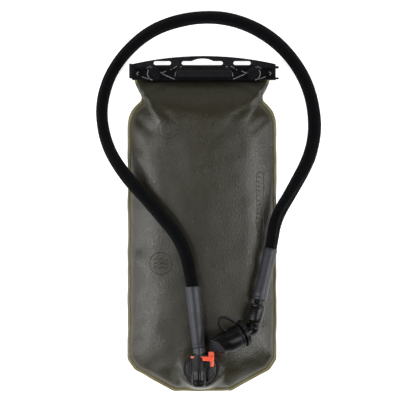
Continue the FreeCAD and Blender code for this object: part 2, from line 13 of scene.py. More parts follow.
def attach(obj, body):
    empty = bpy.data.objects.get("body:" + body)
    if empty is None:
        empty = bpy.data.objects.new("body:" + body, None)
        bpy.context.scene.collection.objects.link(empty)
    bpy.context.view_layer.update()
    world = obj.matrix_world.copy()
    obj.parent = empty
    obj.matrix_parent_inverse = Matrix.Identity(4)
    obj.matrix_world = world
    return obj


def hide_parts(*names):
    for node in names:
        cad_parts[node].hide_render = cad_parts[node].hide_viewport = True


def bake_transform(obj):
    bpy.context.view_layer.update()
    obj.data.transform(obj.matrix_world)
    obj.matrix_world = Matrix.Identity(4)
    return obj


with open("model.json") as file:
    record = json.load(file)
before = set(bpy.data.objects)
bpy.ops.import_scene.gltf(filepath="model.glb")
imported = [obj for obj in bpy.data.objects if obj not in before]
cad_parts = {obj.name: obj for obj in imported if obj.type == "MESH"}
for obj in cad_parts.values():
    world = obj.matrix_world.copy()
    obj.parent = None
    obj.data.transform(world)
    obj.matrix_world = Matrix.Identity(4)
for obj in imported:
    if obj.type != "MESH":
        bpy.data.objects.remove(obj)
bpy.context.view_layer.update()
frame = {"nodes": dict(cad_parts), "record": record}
nodes = frame["nodes"]
MM = 0.001
TURN = 2 * math.pi


# ================================================================ small tools
def smoothstep(low, high, value):
    """0 below low and 1 above high, with a smooth rise between them."""
    t = np.clip((np.asarray(value, float) - low) / (high - low), 0.0, 1.0)
    return t * t * (3 - 2 * t)


def ripple(x, y, wavelength, seed, count=7):
    """Smooth noise of about unit size: a sum of sine waves in seeded directions."""
    random = np.random.default_rng(seed)
    total = np.zeros(np.broadcast(x, y).shape)
    for _ in range(count):
        heading, phase = random.uniform(0, TURN, 2)
        wave = TURN / (wavelength * random.uniform(0.7, 1.5))
        total += np.sin(wave * (x * math.cos(heading) + y * math.sin(heading)) + phase)
    return total / math.sqrt(count)


def new_piece(name, verts, faces, material, body):
    """A smooth shaded mesh object that rides on a body, or on nothing yet where body is None."""
    mesh = bpy.data.meshes.new(name)
    mesh.from_pydata([tuple(v) for v in verts], [], [tuple(f) for f in faces])
    mesh.validate()
    piece = bpy.data.objects.new(name, mesh)
    bpy.context.scene.collection.objects.link(piece)
    mesh.materials.append(material)
    mesh.polygons.foreach_set("use_smooth", [True] * len(mesh.polygons))
    if body:
        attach(piece, body)
    return piece


def even_normals(piece, merge=0.0):
    """Join points closer than merge metres, and turn every face of the closed piece outwards."""
    mesh = bmesh.new()
    mesh.from_mesh(piece.data)
    if merge:
        bmesh.ops.remove_doubles(mesh, verts=mesh.verts, dist=merge)
    bmesh.ops.recalc_face_normals(mesh, faces=mesh.faces)
    mesh.to_mesh(piece.data)
    mesh.free()


def grid_faces(rows, columns, close_rows=False, flip=False):
    """Faces between rings of points: each row is a closed ring with a point to a column."""
    faces = []
    for i in range(rows if close_rows else rows - 1):
        for j in range(columns):
            a, b = i * columns + j, i * columns + (j + 1) % columns
            c, d = (i + 1) % rows * columns + (j + 1) % columns, (i + 1) % rows * columns + j
            faces.append((a, d, c, b) if flip else (a, b, c, d))
    return faces


def shortest_frame(origin, axis):
    """A frame turned the shortest way from straight up to the axis."""
    turn = Vector((0, 0, 1)).rotation_difference(axis)
    return Matrix.Translation(origin) @ turn.to_matrix().to_4x4()


def lathe(name, profile, matrix, material, body, steps, ripple_of=None):
    """A turned piece: profile is (radius, height) in millimetres along the matrix's Z.

    ripple_of gives what is added to the radius at an angle and a height."""
    verts = []
    for radius, height in profile:
        for step in range(steps):
            angle = TURN * step / steps
            reach = radius + (ripple_of(angle, height) if ripple_of else 0.0)
            verts.append(matrix @ (Vector((reach * math.cos(angle), reach * math.sin(angle), height)) * MM))
    return new_piece(name, verts, grid_faces(len(profile), steps), material, body)


def tube_mesh(points, radius, sides, up=(0, 0, 1)):
    """Vertices and faces of a closed tube along points, and the frame of each ring.

    The radius is a number or a function of the ring's index, and a pair for an oval."""
    points = [Vector(p) for p in points]
    frames, verts = [], []
    side = None
    for i, point in enumerate(points):
        ahead = points[min(i + 1, len(points) - 1)] - points[max(i - 1, 0)]
        ahead.normalize()
        if side is None:
            side = ahead.cross(Vector(up))
            if side.length < 1e-6:
                side = ahead.cross(Vector((1, 0, 0)))
        side = (side - ahead * side.dot(ahead)).normalized()
        frames.append((point, ahead, side, side.cross(ahead)))
        reach = radius(i) if callable(radius) else radius
        wide, tall = reach if isinstance(reach, tuple) else (reach, reach)
        for k in range(sides):
            angle = TURN * k / sides
            verts.append(point + side * (wide * math.cos(angle)) + frames[-1][3] * (tall * math.sin(angle)))
    faces = grid_faces(len(points), sides, flip=True)
    faces.append(list(range(sides)))
    faces.append(list(reversed(range((len(points) - 1) * sides, len(points) * sides))))
    return verts, faces, frames


def joined_tubes(paths, radius, sides, ups=None):
    """Vertices and faces of a tube along each path, as one mesh."""
    verts, faces = [], []
    for path, up in zip(paths, ups or [(0, 0, 1)] * len(paths)):
        part, skin, _ = tube_mesh(path, radius, sides, up)
        faces += [[len(verts) + v for v in face] for face in skin]
        verts += part
    return verts, faces


def spline_points(name, route, resolution):
    """Points read from a smooth spline that has the route's points as its control points."""
    curve = bpy.data.curves.new(name, "CURVE")
    curve.dimensions = "3D"
    spline = curve.splines.new("NURBS")
    spline.points.add(len(route) - 1)
    for point, place in zip(spline.points, route):
        point.co = (*place, 1)
    spline.order_u = 3
    spline.use_endpoint_u = True
    spline.resolution_u = resolution
    holder = bpy.data.objects.new(name, curve)
    bpy.context.scene.collection.objects.link(holder)
    line = bpy.data.meshes.new_from_object(holder)
    points = [v.co.copy() for v in line.vertices]
    bpy.data.objects.remove(holder)
    bpy.data.meshes.remove(line)
    return points


def arc_points(x, y, radius, start=0.0, stop=360.0, steps=40):
    """Points round (x, y) from one angle to another, in degrees."""
    angles = [math.radians(start + (stop - start) * k / steps) for k in range(steps + 1)]
    return [(x + radius * math.cos(a), y + radius * math.sin(a)) for a in angles]


def between(points, step=1.5):
    """The same line with a point at each step along it."""
    dense = []
    for (ax, ay), (bx, by) in zip(points, points[1:]):
        count = max(1, int(math.hypot(bx - ax, by - ay) / step))
        dense += [(ax + (bx - ax) * k / count, ay + (by - ay) * k / count) for k in range(count)]
    return dense + [points[-1]]


# ================================================================ materials
class Look:
    """A node material built in a few lines."""

    def __init__(self, name, colour, roughness, **sockets):
        self.material = bpy.data.materials.new(name)
        self.material.use_nodes = True
        self.tree = self.material.node_tree
        self.shader = self.tree.nodes["Principled BSDF"]
        self.shader.inputs["Base Color"].default_value = (*colour, 1)
        self.shader.inputs["Roughness"].default_value = roughness
        for socket, value in sockets.items():
            self.shader.inputs[socket.replace("_", " ")].default_value = value
        self.place = self.add("ShaderNodeTexCoord").outputs["Object"]
        self.bump_chain = None

    def add(self, kind, **inputs):
        """A node whose inputs are linked where a socket is given, and set where a value is."""
        node = self.tree.nodes.new(kind)
        for name, value in inputs.items():
            socket = node.inputs[name.replace("_", " ")]
            if isinstance(value, bpy.types.NodeSocket):
                self.tree.links.new(value, socket)
            else:
                socket.default_value = value
        return node

    def noise(self, scale, detail, rough):
        node = self.add("ShaderNodeTexNoise", Scale=scale, Detail=detail, Roughness=rough)
        self.tree.links.new(self.place, node.inputs["Vector"])
        return node.outputs["Fac"]

    def cells(self, scale):
        node = self.add("ShaderNodeTexVoronoi", Scale=scale)
        self.tree.links.new(self.place, node.inputs["Vector"])
        return node.outputs["Distance"]

    def attribute(self, name):
        """A value that the mesh holds at its points."""
        node = self.add("ShaderNodeAttribute")
        node.attribute_name = name
        return node.outputs["Fac"]

    def remap(self, value, low, high, to_low, to_high):
        node = self.add("ShaderNodeMapRange", Value=value, From_Min=low, From_Max=high,
                        To_Min=to_low, To_Max=to_high)
        return node.outputs["Result"]

    def math(self, operation, first, second=0.0):
        node = self.tree.nodes.new("ShaderNodeMath")
        node.operation = operation
        for socket, value in zip(node.inputs, (first, second)):
            if isinstance(value, bpy.types.NodeSocket):
                self.tree.links.new(value, socket)
            else:
                socket.default_value = value
        return node.outputs["Value"]

    def mix(self, factor, first, second):
        node = self.tree.nodes.new("ShaderNodeMix")
        node.data_type = "RGBA"
        for socket, value in ((node.inputs[0], factor), (node.inputs[6], first), (node.inputs[7], second)):
            if isinstance(value, bpy.types.NodeSocket):
                self.tree.links.new(value, socket)
            elif isinstance(value, (int, float)):
                socket.default_value = value
            else:
                socket.default_value = (*value, 1)
        return node.outputs[2]

    def colour(self, source):
        self.tree.links.new(source, self.shader.inputs["Base Color"])

    def roughness(self, source):
        self.tree.links.new(source, self.shader.inputs["Roughness"])

    def bump(self, height, strength, distance):
        node = self.add("ShaderNodeBump", Height=height, Strength=strength, Distance=distance)
        if self.bump_chain:
            self.tree.links.new(self.bump_chain, node.inputs["Normal"])
        self.bump_chain = node.outputs["Normal"]
        self.tree.links.new(self.bump_chain, self.shader.inputs["Normal"])

    def edges(self):
        """1 where the surface is a sharp outer edge."""
        node = self.tree.nodes.new("ShaderNodeNewGeometry")
        return self.remap(node.outputs["Pointiness"], 0.52, 0.60, 0.0, 1.0)


def film_look():
    """Smoky film: cloudy and finely grained, khaki by the weld, and near black at the mouth: partly the
    doubled film over the black rails, partly painted shade under the closure.
    """
    look = Look("film", (0.03, 0.027, 0.015), 0.4, Specular_IOR_Level=0.58)
    broad = look.noise(28, 4, 0.55)
    fine = look.noise(260, 3, 0.6)
    smoke = look.mix(look.remap(broad, 0.3, 0.7, 0, 1), (0.0148, 0.0127, 0.0042), (0.022, 0.019, 0.0067))
    smoke = look.mix(look.remap(fine, 0.35, 0.65, 0, 0.5), smoke, (0.0202, 0.0175, 0.0064))
    # Near black at the mouth: partly the doubled film over the black rails, partly painted shade under the
    # closure's overhang.
    smoke = look.mix(look.attribute("doubled_and_shaded"), smoke, (0.002, 0.0018, 0.001))
    look.colour(look.mix(look.attribute("rim"), smoke, (0.075, 0.068, 0.034)))
    look.roughness(look.remap(fine, 0.3, 0.7, 0.27, 0.42))
    look.bump(look.cells(760), 0.5, 0.0004)
    look.bump(look.noise(1400, 2, 0.5), 0.5, 0.0003)
    return look.material


def weld_look():
    """Clearer khaki film where the two sheets are welded."""
    look = Look("weld_film", (0.2, 0.18, 0.08), 0.32, Specular_IOR_Level=0.5)
    tint = look.noise(60, 4, 0.6)
    look.colour(look.mix(look.remap(tint, 0.3, 0.7, 0, 1), (0.15, 0.135, 0.062), (0.24, 0.215, 0.105)))
    look.bump(look.noise(420, 2, 0.5), 0.25, 0.0004)
    return look.material


def moulded_look(name, colour, light, roughness, grain=1500, grain_depth=0.25, **sockets):
    """Moulded plastic: a little cloudy, with its sharp edges in the light colour: partly wear, partly a
    painted highlight on the edges.
    """
    look = Look(name, colour, roughness, **sockets)
    cloud = look.noise(45, 4, 0.6)
    wear_and_glint = look.edges()
    base = look.mix(look.remap(cloud, 0.3, 0.7, 0, 1), colour, tuple(1.35 * c for c in colour))
    # Sharp edges take the light colour: partly wear, partly painted highlight.
    look.colour(look.mix(wear_and_glint, base, light))
    look.roughness(look.remap(look.noise(120, 4, 0.65), 0.3, 0.7, roughness - 0.07, roughness + 0.09))
    look.bump(look.noise(grain, 2, 0.6), grain_depth, 0.0002)
    return look.material


KNIT_COLUMNS, KNIT_ROW = 58, 0.0011


def knit_look():
    """Knitted sleeve: columns of loops round the hose, from its own UV map."""
    look = Look("sleeve_knit", (0.01, 0.0105, 0.013), 0.85, Sheen_Weight=0.03, Sheen_Roughness=0.4,
                Specular_IOR_Level=0.06)
    uv = look.add("ShaderNodeUVMap")
    uv.uv_map = "tube"
    split = look.add("ShaderNodeSeparateXYZ", Vector=uv.outputs["UV"])
    around = look.math("MULTIPLY", split.outputs["X"], KNIT_COLUMNS * TURN)
    along = look.math("MULTIPLY", split.outputs["Y"], TURN / KNIT_ROW)
    column = look.math("ABSOLUTE", look.math("SINE", around))
    stagger = look.math("MULTIPLY", look.math("SINE", around), 1.3)
    loops = look.math("SINE", look.math("ADD", along, stagger))
    knit = look.math("ADD", column, look.math("MULTIPLY", loops, 0.45))
    shade = look.remap(knit, -0.4, 1.4, 0, 1)
    cloud = look.noise(90, 4, 0.6)
    yarn = look.mix(cloud, (0.0035, 0.0038, 0.0048), (0.006, 0.0064, 0.0078))
    look.colour(look.mix(shade, (0.0012, 0.0013, 0.0018), yarn))
    look.bump(knit, 0.8, 0.0004)
    return look.material


def plain_look(name, colour, roughness, scale=300, depth=0.15, **sockets):
    """Rubber, steel and thread: a cloudy colour over a fine grain."""
    look = Look(name, colour, roughness, **sockets)
    cloud = look.noise(70, 4, 0.6)
    look.colour(look.mix(look.remap(cloud, 0.3, 0.7, 0, 1), tuple(0.8 * c for c in colour),
                         tuple(1.2 * c for c in colour)))
    look.roughness(look.remap(look.noise(160, 3, 0.6), 0.3, 0.7, roughness - 0.05, roughness + 0.06))
    look.bump(look.noise(scale, 2, 0.5), depth, 0.0003)
    return look.material


FILM = film_look()
WELD = weld_look()
# Each moulded look's second colour is its edge colour: partly wear, partly painted highlight.
BLACK = moulded_look("black_plastic", (0.0025, 0.0025, 0.0032), (0.012, 0.012, 0.0135), 0.27, 1500, 0.08,
                     Specular_IOR_Level=0.15)
HUB = moulded_look("hub_plastic", (0.004, 0.004, 0.0045), (0.02, 0.02, 0.022), 0.4, 1500, 0.08,
                   Specular_IOR_Level=0.13)
GLOSS = moulded_look("gloss_black", (0.003, 0.003, 0.0036), (0.012, 0.012, 0.013), 0.3, 500, 0.05,
                     Specular_IOR_Level=0.22, Coat_Weight=0.03, Coat_Roughness=0.12)
COVER = moulded_look("cover_rubber", (0.0025, 0.0025, 0.0032), (0.02, 0.02, 0.023), 0.33, 1500, 0.08,
                     Specular_IOR_Level=0.17)
PORT = moulded_look("port_plastic", (0.004, 0.004, 0.0045), (0.03, 0.03, 0.031), 0.16, 700, 0.08,
                    Specular_IOR_Level=0.18, Coat_Weight=0.04, Coat_Roughness=0.1)
# Ribs lighter than the cap with light edges: a painted highlight for their glints.
RIB_GLINT = moulded_look("rib_painted_glint", (0.008, 0.008, 0.0085), (0.07, 0.07, 0.072), 0.18, 700, 0.05,
                   Specular_IOR_Level=0.35)
ORANGE = moulded_look("latch_plastic", (0.80, 0.075, 0.028), (0.9, 0.2, 0.12), 0.38, 900, 0.1)
CUFF = plain_look("grey_rubber", (0.018, 0.019, 0.026), 0.46, 900, 0.12)
SEAL = plain_look("seal_rubber", (0.008, 0.008, 0.009), 0.5)
CLEAR = plain_look("clear_tube", (0.25, 0.28, 0.31), 0.25)
STEEL = plain_look("spring_steel", (0.5, 0.5, 0.52), 0.3, Metallic=1.0)
SILICONE = plain_look("silicone", (0.16, 0.18, 0.2), 0.4)
TETHER = plain_look("tether_rubber", (0.004, 0.004, 0.005), 0.4, 900, 0.1, Specular_IOR_Level=0.2)
TEAL = plain_look("cover_end", (0.014, 0.025, 0.031), 0.5, 900, 0.1, Specular_IOR_Level=0.1)
# Light grey ridges: a painted highlight for the glints along the closure's raised lines.
RIDGE_GLINT = moulded_look("ridge_painted_glint", (0.09, 0.09, 0.093), (0.25, 0.25, 0.255), 0.2)
KNIT = knit_look()
THREAD = plain_look("seam_thread", (0.02, 0.021, 0.026), 0.7, 2000, 0.3)

LOOK_OF_SLOT = {
    "film": FILM, "weld_film": WELD, "black_plastic": BLACK, "gloss_black": GLOSS, "latch_plastic": ORANGE,
    "seal_rubber": SEAL, "grey_rubber": CUFF, "sleeve_fabric": KNIT, "clear_tube": CLEAR,
    "spring_steel": STEEL, "silicone": SILICONE,
}
for part in frame["record"]["subparts"]:
    node = nodes[part["node"]]
    node.data.materials.clear()
    node.data.materials.append(LOOK_OF_SLOT[part["material_slot"]])
for name in ("port_cap", "port_flange"):
    nodes[name].data.materials[0] = PORT
nodes["outlet_elbow"].data.materials[0] = HUB
nodes["tube_plug"].data.materials[0] = CUFF


# ================================================================ hose
HOSE_DIAMETER = 0.0146
# The hose's route from the lower cuff to the upper one, with the points of the CAD tube's route.
HOSE_ROUTE = [
    (-0.0114, -0.0872, 0.0582), (-0.0134, -0.066, 0.0582), (-0.024, -0.022, 0.0584), (-0.056, 0.017, 0.060),
    (-0.097, 0.061, 0.043), (-0.119, 0.099, 0.019), (-0.125, 0.145, 0.0076), (-0.109, 0.192, 0.0076),
    (-0.068, 0.2335, 0.0076), (-0.016, 0.251, 0.0076), (0.038, 0.2495, 0.0076), (0.0885, 0.224, 0.0076),
    (0.1245, 0.179, 0.0076), (0.1375, 0.127, 0.0078), (0.1315, 0.083, 0.012), (0.107, 0.039, 0.0305),
    (0.087, 0.007, 0.044), (0.0815, -0.027, 0.050), (0.0779, -0.0427, 0.0519),
]

hose_line = spline_points("hose_line", HOSE_ROUTE, 24)
hose_steps = np.cumsum([0.0] + [(b - a).length for a, b in zip(hose_line, hose_line[1:])])
hose_length = float(hose_steps[-1])


def along_hose(distance):
    """Point on the centreline at a distance from the port end."""
    columns = [np.interp(distance, hose_steps, [p[k] for p in hose_line]) for k in range(3)]
    return Vector(columns)


# How far the sleeve's seam is turned from the top, in degrees, at shares of the length.
SEAM_TURNS = ((0.0, -100), (0.28, -110), (0.36, -48), (0.43, -52), (0.52, -120), (0.80, -120),
              (0.87, -30), (0.93, -8), (1.0, -20))
# The loose sleeve lies a little flattened: its half width, in millimetres, at shares of the length.
SLEEVE_HALF_WIDTH = ((0.0, 7.4), (0.08, 7.8), (0.2, 7.8), (0.3, 7.1), (0.4, 7.2), (0.5, 8.2), (0.62, 8.3),
                     (0.72, 7.9), (0.84, 8.3), (0.93, 7.8), (0.97, 7.4), (1.0, 7.3))
SLEEVE_STEP, SLEEVE_SIDES = 0.0018, 40
STITCH_PITCH, STITCH_WIDE, STITCH_RADIUS = 0.0016, 0.0024, 0.00022


def sleeve_section(share):
    """Half the sleeve's width and half its height at a share of its length."""
    keys, widths = zip(*SLEEVE_HALF_WIDTH)
    wide = float(np.interp(share, keys, widths)) * MM
    return wide, HOSE_DIAMETER / 2 - 0.35 * (wide - HOSE_DIAMETER / 2)


def map_round(piece, sides, row_length):
    """A UV map whose X goes once round a tube, and whose Y is the distance along it."""
    mesh = piece.data
    layer = mesh.uv_layers.new(name="tube")
    for polygon in mesh.polygons:
        columns = [mesh.loops[loop].vertex_index % sides for loop in polygon.loop_indices]
        for loop, column in zip(polygon.loop_indices, columns):
            row = mesh.loops[loop].vertex_index // sides
            wraps = column == 0 and max(columns) == sides - 1
            layer.data[loop].uv = (1.0 if wraps else column / sides, row * row_length)


def hose_sleeve():
    """The knitted sleeve over the whole hose, with its centreline and the frame of each ring."""
    count = int(hose_length / SLEEVE_STEP)
    points = [along_hose(hose_length * i / count) for i in range(count + 1)]
    swell = ripple(np.arange(count + 1) * SLEEVE_STEP / MM, 0.0, 70.0, 5) * 0.12 * MM

    def reach(i):
        wide, tall = sleeve_section(i / count)
        return wide + swell[i], tall

    verts, faces, frames = tube_mesh(points, reach, SLEEVE_SIDES)
    sleeve = new_piece("hose_sleeve", verts, faces, KNIT, "hose")
    map_round(sleeve, SLEEVE_SIDES, hose_length / count)
    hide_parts("tube_sleeve", "drinking_tube")
    return sleeve, points, frames


def stitch(share, frame_there, lean):
    """One slanting stitch over the seam, and the way up from the sleeve there."""
    keys, turns = zip(*SEAM_TURNS)
    _, ahead, side, up = frame_there
    angle = math.radians(float(np.interp(share, keys, turns)))
    wide, tall = sleeve_section(share)
    rim = wide * tall / math.hypot(tall * math.sin(angle), wide * math.cos(angle))
    place = along_hose(share * hose_length)
    level = (up * math.cos(angle) + side * math.sin(angle)).normalized()
    across = level.cross(ahead)
    line = []
    for step in range(5):
        t = step / 4 - 0.5
        lift = rim + (0.3 * math.cos(math.pi * t) - 0.1) * MM
        line.append(place + across * (t * STITCH_WIDE) + ahead * (lean * t * STITCH_PITCH) + level * lift)
    return line, level


def seam_stitches(frames):
    """A zigzag of thread along the sleeve's seam."""
    count = int(hose_length / STITCH_PITCH) - 4
    lines, levels = [], []
    for index in range(3, count):
        share = index / count
        row = min(int(share * (len(frames) - 1)), len(frames) - 2)
        line, level = stitch(share, frames[row], 1 if index % 2 else -1)
        lines.append(line)
        levels.append(level)

    def thread(i):
        return STITCH_RADIUS * (1 - 0.5 * abs(i / 2 - 1) ** 3)

    verts, faces = joined_tubes(lines, thread, 5, levels)
    return new_piece("sleeve_seam_stitches", verts, faces, THREAD, "hose")


sleeve, sleeve_points, sleeve_frames = hose_sleeve()
stitches = seam_stitches(sleeve_frames)

# ================================================================ reservoir
# From here on, bare lengths are millimetres, and shares run from the weld's edge (0) to the crown's (1).
FILM_CENTRE, SEAM, RISE = -1.3, 24.0, 24.0
PORT_SPOT = (-2.5, -173.4)
# Half outline from the bottom to the mouth: the weld's edge, and the edge of the flat top.
EDGE = [(34.0, -202.3), (81.0, -177.0), (90.0, -163.5), (90.0, 119.0), (89.0, 127.0), (85.4, 135.5),
        (79.6, 143.0), (73.6, 148.6), (72.8, 153.0), (77.4, 161.5), (81.5, 170.5), (81.5, 178.0)]
CROWN = [(14.0, -160.0), (40.0, -148.0), (50.0, -133.0), (50.0, 92.0), (50.0, 98.0), (49.5, 103.0),
         (49.0, 107.0), (48.5, 111.0), (48.0, 113.0), (47.0, 116.0), (45.5, 119.0), (43.0, 121.0)]
# Steps along the outline, and between the points and the rows that fill the crown.
SPACING, CROWN_SPACING, CROWN_ROW = 2.0, 3.4, 3.4 * 0.866
# The share at which the film leaves the weld, and how far it is tucked in there.
WELD_SHARE, TUCK = 0.075, 0.012
DOME_POWER, MOUTH_POWER = 0.6, 2.1
CROWN_FALL, CROWN_SWELL = 0.12, 0.6
# Bands of puckers beside the weld: how far in from the edge, and how wide.
NEAR_BAND, FAR_BAND, RING_REACH = (12.0, 9.0), (26.0, 12.0), 40.0
# The film is flat round the port out to the first distance, and free of it from the second.
SEAT_SPAN, SEAT_LEVEL = (21.2, 31.0), 22.85
# The least the film stands off the seam plane, and the least the back stands off the floor.
LEAST_RISE, BACK_ROOM = 0.35, 0.05
# Shares over which the khaki rim, and the doubled film's painted shade at the mouth, fade out.
RIM_FADE, DOUBLED_SHADE_FADE = (0.05, 0.2), (0.06, 0.3)
# The back sheet's puckers are the front's, moved along the edge by this many points.
NEAR_SHIFT, FAR_SHIFT = 37, 91


def closed_outline(half):
    """The whole outline, from its right half and its mirrored left half."""
    right = [(FILM_CENTRE + x, y) for x, y in half]
    left = [(FILM_CENTRE - x, y) for x, y in reversed(half)]
    return np.array(right + left)


def sampled_outlines():
    """Matching points along the weld's edge and the crown's edge."""
    edge, crown = closed_outline(EDGE), closed_outline(CROWN)
    edge_points, crown_points, mouth = [], [], []
    count = len(edge)
    for k in range(count):
        a, b = edge[k], edge[(k + 1) % count]
        c, d = crown[k], crown[(k + 1) % count]
        steps = max(1, int(round(np.linalg.norm(b - a) / SPACING)))
        for step in range(steps):
            t = step / steps
            edge_points.append(a + (b - a) * t)
            crown_points.append(c + (d - c) * t)
            mouth.append(1.0 if k == len(EDGE) - 1 else 0.0)
    edge_points, crown_points, mouth = map(np.array, (edge_points, crown_points, mouth))
    for _ in range(2):
        edge_points = (np.roll(edge_points, 1, 0) + 2 * edge_points + np.roll(edge_points, -1, 0)) / 4
    for _ in range(12):
        crown_points = (np.roll(crown_points, 1, 0) + crown_points + np.roll(crown_points, -1, 0)) / 3
    for _ in range(24):
        mouth = (np.roll(mouth, 1) + 2 * mouth + np.roll(mouth, -1)) / 4
    return edge_points, crown_points, mouth


edge_line, crown_line, mouth_share = sampled_outlines()
around_steps = np.linalg.norm(np.roll(edge_line, -1, 0) - edge_line, axis=1)
around = np.concatenate([[0.0], np.cumsum(around_steps)[:-1]])
inward = (crown_line - edge_line) / np.linalg.norm(crown_line - edge_line, axis=1)[:, None]
drawn_in = (0.35 + 0.35 * ripple(around, 0.0, 34.0, 14, 5)) * (1 - mouth_share)
edge_line = edge_line + inward * np.maximum(drawn_in, 0.0)[:, None]
rim_wave = ripple(around, 0.0, 46.0, 11, 5) * 0.55 * (1 - mouth_share)
pucker = ripple(around, 0.0, 24.0, 12, 6)
pucker_far = ripple(around, 0.0, 58.0, 13, 5)

# Each fold's place from, place to, half width and depth; it is there on both sides.
NECK_FOLDS = [
    ((-74.0, 151.0), (-38.0, 128.0), 5.5, 1.5),
    ((-73.0, 154.0), (-46.0, 168.0), 3.5, 1.2),
    ((-86.0, 134.0), (-62.0, 112.0), 5.0, 1.2),
]


def fold_depth(x, y):
    """How far the folds below the mouth press the film down."""
    depth = np.zeros_like(x)
    for (ax, ay), (bx, by), wide, deep in NECK_FOLDS:
        for side in (1, -1):
            px, qx = side * ax, side * bx
            run = np.array([qx - px, by - ay])
            t = ((x - FILM_CENTRE - px) * run[0] + (y - ay) * run[1]) / (run @ run)
            near = np.clip(t, 0, 1)
            gap = np.hypot(x - FILM_CENTRE - px - near * run[0], y - ay - near * run[1])
            depth += deep * np.exp(-(gap / wide) ** 2) * (1 - 0.6 * near)
    return depth


def band(inset, where):
    """How much of a band of puckers there is at a distance in from the edge."""
    middle, wide = where
    return np.exp(-((inset - middle) / wide) ** 2)


def film_level(share, x, y, ring_pucker, ring_far, mouth):
    """Height of the front film over the seam plane, in millimetres."""
    t = np.clip((share - WELD_SHARE) / (1 - WELD_SHARE), 0, 1)
    dome = np.maximum(0.0, 1 - (1 - t) ** 2) ** DOME_POWER
    ramp = 1 - (1 - t) ** MOUTH_POWER
    fall = 1 - CROWN_FALL * ((x - FILM_CENTRE) / 50.0) ** 2
    level = RISE * ((1 - mouth) * dome + mouth * ramp) * fall
    inset = share * RING_REACH
    level -= band(inset, NEAR_BAND) * (0.9 * ring_pucker + 0.7) * (1 - mouth)
    level -= band(inset, FAR_BAND) * 0.7 * ring_far * (1 - mouth)
    inside = smoothstep(0.1, 0.5, share)
    level += inside * (0.45 * ripple(x, y, 95.0, 21) + 0.16 * ripple(x, y, 34.0, 22))
    level += inside * CROWN_SWELL * np.exp(-((x - FILM_CENTRE) / 42.0) ** 2 - ((y + 30.0) / 120.0) ** 4)
    level -= fold_depth(x, y) * smoothstep(WELD_SHARE, 0.3, share)
    return level


def film_rings():
    """Rings of points from inside the weld to the crown's edge, as shares and places."""
    shares = [*np.linspace(WELD_SHARE - TUCK, 0.2, 8), *np.linspace(0.23, 1.0, 24)]
    return [(share, edge_line + (crown_line - edge_line) * share) for share in shares]


def inside_ring(ring, x, y):
    """Is the point inside the ring?"""
    ahead = np.roll(ring, -1, 0)
    crosses = (ring[:, 1] > y) != (ahead[:, 1] > y)
    a, b = ring[crosses], ahead[crosses]
    return bool(np.sum(x < a[:, 0] + (y - a[:, 1]) * (b[:, 0] - a[:, 0]) / (b[:, 1] - a[:, 1])) % 2)


def crown_fill(ring):
    """Points in rows inside the crown's outline, and the triangles that fill it."""
    low, high = ring.min(axis=0), ring.max(axis=0)
    rows = np.arange(low[1], high[1], CROWN_ROW)
    inner = []
    for index, y in enumerate(rows):
        shift = CROWN_SPACING / 2 * (index % 2)
        for x in np.arange(low[0] + shift, high[0], CROWN_SPACING):
            gap = np.hypot(ring[:, 0] - x, ring[:, 1] - y).min()
            if gap > 0.6 * CROWN_SPACING and inside_ring(ring, x, y):
                inner.append((x, y))
    places = [Vector(p) for p in ring] + [Vector(p) for p in inner]
    count = len(ring)
    edges = [(k, (k + 1) % count) for k in range(count)]
    found, _, triangles, origin, _, _ = delaunay_2d_cdt(places, edges, [], 1, 1e-6)
    first = [group[0] for group in origin]
    assert len(found) == len(places)
    return np.array(inner), [tuple(first[v] for v in triangle) for triangle in triangles]


def port_seat_level(x, y, level):
    """The film's level, made flat round the port."""
    gap = np.hypot(x - PORT_SPOT[0], y - PORT_SPOT[1])
    hold = 1 - smoothstep(*SEAT_SPAN, gap)
    return level * (1 - hold) + SEAT_LEVEL * hold


def film_points(share, x, y, wave, near, far, mouth):
    """Places on the front and the back sheet, how much they are rim, and how much painted shade they take
    as doubled film at the mouth.
    """
    top = port_seat_level(x, y, film_level(share, x, y, near, far, mouth))
    low = film_level(share, x, y, np.roll(near, NEAR_SHIFT), np.roll(far, FAR_SHIFT), mouth)
    low = np.clip(low, LEAST_RISE, RISE - BACK_ROOM)
    front = np.column_stack([x, y, SEAM + wave + np.maximum(top, LEAST_RISE)])
    back = np.column_stack([x, y, np.maximum(SEAM + wave * 0.3 - low, BACK_ROOM)])
    rim = (1 - float(smoothstep(*RIM_FADE, share))) * (1 - mouth)
    # Painted shade under the closure, strongest at the mouth and fading inwards.
    doubled_and_shaded = (1 - float(smoothstep(*DOUBLED_SHADE_FADE, share))) * mouth
    return front, back, rim, doubled_and_shaded


def film_faces(ring_count, sides, triangles, offset):
    """The front's rings and filled crown, the same for the back, and the strip that joins them."""
    crown_start = (ring_count - 1) * sides
    faces = grid_faces(ring_count, sides)
    faces += [tuple(crown_start + v for v in triangle) for triangle in triangles]
    faces += [tuple(offset + v for v in reversed(face)) for face in faces]
    faces += [(j, offset + j, offset + (j + 1) % sides, (j + 1) % sides) for j in range(sides)]
    return faces


def film_bag():
    """Both film sheets as one closed soft piece."""
    rings = film_rings()
    rows = []
    for share, line in rings:
        wave = rim_wave * (1 - smoothstep(0.0, 0.7, share))
        rows.append(film_points(share, *line.T, wave, pucker, pucker_far, mouth_share))
    inner, triangles = crown_fill(rings[-1][1])
    still = np.zeros(len(inner))
    rows.append(film_points(1.0, *inner.T, still, still, still, still))
    front, back, rim, doubled_and_shaded = zip(*rows)
    verts = np.vstack(front + back) * MM
    faces = film_faces(len(rings), len(edge_line), triangles, len(verts) // 2)
    bag = new_piece("film_bag", verts, faces, FILM, "reservoir")
    even_normals(bag)
    for name, shares in (("rim", rim), ("doubled_and_shaded", doubled_and_shaded)):
        shade = bag.data.attributes.new(name, "FLOAT", "POINT")
        shade.data.foreach_set("value", np.concatenate(shares + shares))
    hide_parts("front_panel", "back_panel")
    return bag


